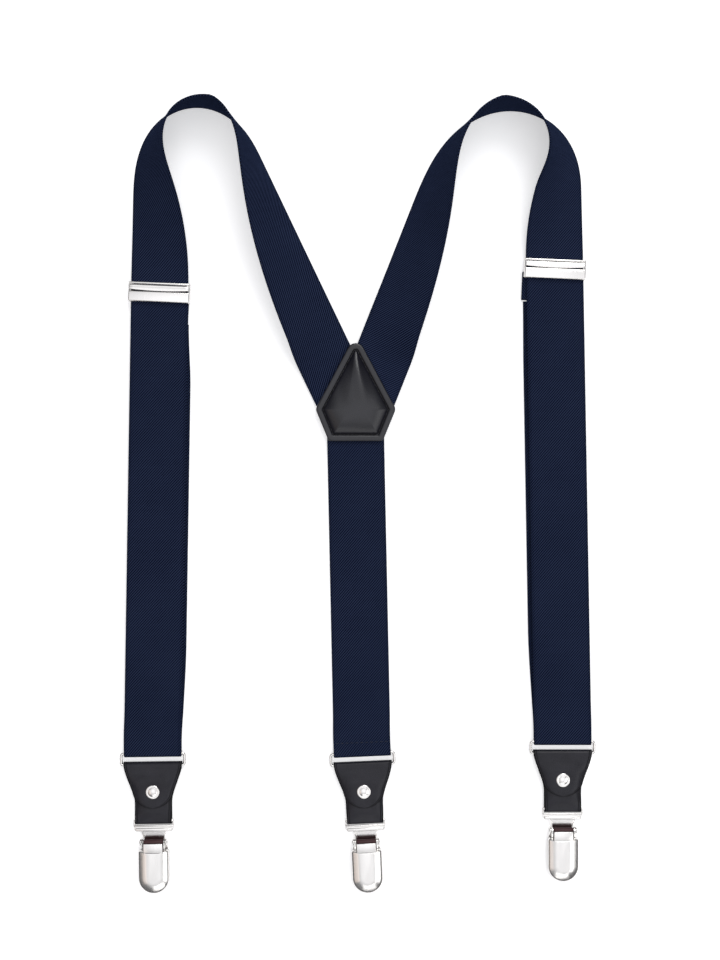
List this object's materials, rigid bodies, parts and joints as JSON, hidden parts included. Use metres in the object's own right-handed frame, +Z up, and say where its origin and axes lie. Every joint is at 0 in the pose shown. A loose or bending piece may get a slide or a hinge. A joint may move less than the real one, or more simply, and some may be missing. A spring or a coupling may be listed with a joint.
{
  "type": "suspenders",
  "caption": "Y-back elastic suspenders with a leather patch, strap adjusters and metal clips on leather tabs, laid out flat with the shoulder loops turned over.",
  "frame": {"origin": "under the middle of the laid-out set, on the table", "axes": "+Y up the back strap towards the shoulder loops, +Z up off the table, +X towards the right front strap as seen from above"},
  "size_m": [0.2917, 0.4821, 0.035],
  "materials": {
    "webbing": "matt, finely ribbed elastic webbing",
    "patch_leather": "smooth, lightly polished, pressed border",
    "tab_leather": "smooth, semi-matt, bevelled edges",
    "nickel": "bright nickel plate",
    "pin_steel": "plain steel wire",
    "grip_pad": "soft moulded, ridged"
  },
  "bodies": {
    "straps": {"left_strap": "webbing", "right_strap": "webbing", "left_front_run": "webbing", "right_front_run": "webbing", "back_strap": "webbing", "patch_front": "patch_leather", "patch_back": "patch_leather"},
    "left_adjuster": {"left_adjuster_frame": "nickel", "left_adjuster_pin": "pin_steel", "left_strap_hem": "webbing"},
    "left_lever": {"left_adjuster_lever": "nickel"},
    "left_end": {"left_strap_fold": "webbing", "left_strap_return": "webbing"},
    "right_adjuster": {"right_adjuster_frame": "nickel", "right_adjuster_pin": "pin_steel", "right_strap_hem": "webbing"},
    "right_lever": {"right_adjuster_lever": "nickel"},
    "right_end": {"right_strap_fold": "webbing", "right_strap_return": "webbing"},
    "left_ring": {"left_ring": "nickel"},
    "left_tab": {"left_leather_tab": "tab_leather", "left_rivet": "nickel"},
    "left_clip": {"left_clip_base": "nickel", "left_clip_pad": "grip_pad", "left_clip_pin": "pin_steel"},
    "left_lid": {"left_clip_lid": "nickel"},
    "right_ring": {"right_ring": "nickel"},
    "right_tab": {"right_leather_tab": "tab_leather", "right_rivet": "nickel"},
    "right_clip": {"right_clip_base": "nickel", "right_clip_pad": "grip_pad", "right_clip_pin": "pin_steel"},
    "right_lid": {"right_clip_lid": "nickel"},
    "back_ring": {"back_ring": "nickel"},
    "back_tab": {"back_leather_tab": "tab_leather", "back_rivet": "nickel"},
    "back_clip": {"back_clip_base": "nickel", "back_clip_pad": "grip_pad", "back_clip_pin": "pin_steel"},
    "back_lid": {"back_clip_lid": "nickel"}
  },
  "joints": [
    {"name": "left_end_slide", "type": "slide", "parent": "straps", "child": "left_end", "axis": [-0.0157, -0.9999, 0], "range_m": [0, 0.253], "deforming": ["left_strap_return"]},
    {"name": "left_adjuster_slide", "type": "slide", "parent": "straps", "child": "left_adjuster", "axis": [-0.0157, -0.9999, 0], "range_m": [0, 0.506]},
    {"name": "left_lever_hinge", "type": "hinge", "parent": "left_adjuster", "child": "left_lever", "pos_m": [-0.12116, 0.1289, 0.00595], "axis": [-0.9991, 0.0419, 0], "range_deg": [0, 95]},
    {"name": "right_end_slide", "type": "slide", "parent": "straps", "child": "right_end", "axis": [0.0175, -0.9998, 0], "range_m": [0, 0.26], "deforming": ["right_strap_return"]},
    {"name": "right_adjuster_slide", "type": "slide", "parent": "straps", "child": "right_adjuster", "axis": [0.0175, -0.9998, 0], "range_m": [0, 0.52]},
    {"name": "right_lever_hinge", "type": "hinge", "parent": "right_adjuster", "child": "right_lever", "pos_m": [0.12034, 0.1432, 0.00595], "axis": [-0.999, 0.0436, 0], "range_deg": [0, 95]},
    {"name": "left_ring_hinge", "type": "hinge", "parent": "left_end", "child": "left_ring", "pos_m": [-0.12573, -0.15637, 0.00222], "axis": [0.9999, 0.014, 0], "range_deg": [-60, 60]},
    {"name": "left_tab_hinge", "type": "hinge", "parent": "left_ring", "child": "left_tab", "pos_m": [-0.12563, -0.16346, 0.00222], "axis": [0.9999, 0.014, 0], "range_deg": [-60, 60]},
    {"name": "left_clip_hinge", "type": "hinge", "parent": "left_tab", "child": "left_clip", "pos_m": [-0.12515, -0.19756, 0.00213], "axis": [0.9999, 0.014, 0], "range_deg": [-60, 60]},
    {"name": "left_lid_hinge", "type": "hinge", "parent": "left_clip", "child": "left_lid", "pos_m": [-0.12498, -0.20991, 0.005], "axis": [-0.9999, -0.014, 0], "range_deg": [0, 75]},
    {"name": "right_ring_hinge", "type": "hinge", "parent": "right_end", "child": "right_ring", "pos_m": [0.12524, -0.14906, 0.00222], "axis": [1, 0, 0], "range_deg": [-60, 60]},
    {"name": "right_tab_hinge", "type": "hinge", "parent": "right_ring", "child": "right_tab", "pos_m": [0.12524, -0.15616, 0.00222], "axis": [1, 0, 0], "range_deg": [-60, 60]},
    {"name": "right_clip_hinge", "type": "hinge", "parent": "right_tab", "child": "right_clip", "pos_m": [0.12524, -0.19026, 0.00213], "axis": [1, 0, 0], "range_deg": [-60, 60]},
    {"name": "right_lid_hinge", "type": "hinge", "parent": "right_clip", "child": "right_lid", "pos_m": [0.12524, -0.20261, 0.005], "axis": [-1, 0, 0], "range_deg": [0, 75]},
    {"name": "back_ring_hinge", "type": "hinge", "parent": "straps", "child": "back_ring", "pos_m": [0.00256, -0.15618, 0.00222], "axis": [0.999, 0.0436, 0], "range_deg": [-60, 60]},
    {"name": "back_tab_hinge", "type": "hinge", "parent": "back_ring", "child": "back_tab", "pos_m": [0.00287, -0.16328, 0.00222], "axis": [0.999, 0.0436, 0], "range_deg": [-60, 60]},
    {"name": "back_clip_hinge", "type": "hinge", "parent": "back_tab", "child": "back_clip", "pos_m": [0.00436, -0.19734, 0.00213], "axis": [0.999, 0.0436, 0], "range_deg": [-60, 60]},
    {"name": "back_lid_hinge", "type": "hinge", "parent": "back_clip", "child": "back_lid", "pos_m": [0.0049, -0.20968, 0.005], "axis": [-0.999, -0.0436, 0], "range_deg": [0, 75]}
  ],
  "couplings": [
    {"joint": "left_adjuster_slide", "follows": "left_end_slide", "ratio": 2},
    {"joint": "right_adjuster_slide", "follows": "right_end_slide", "ratio": 2}
  ]
}
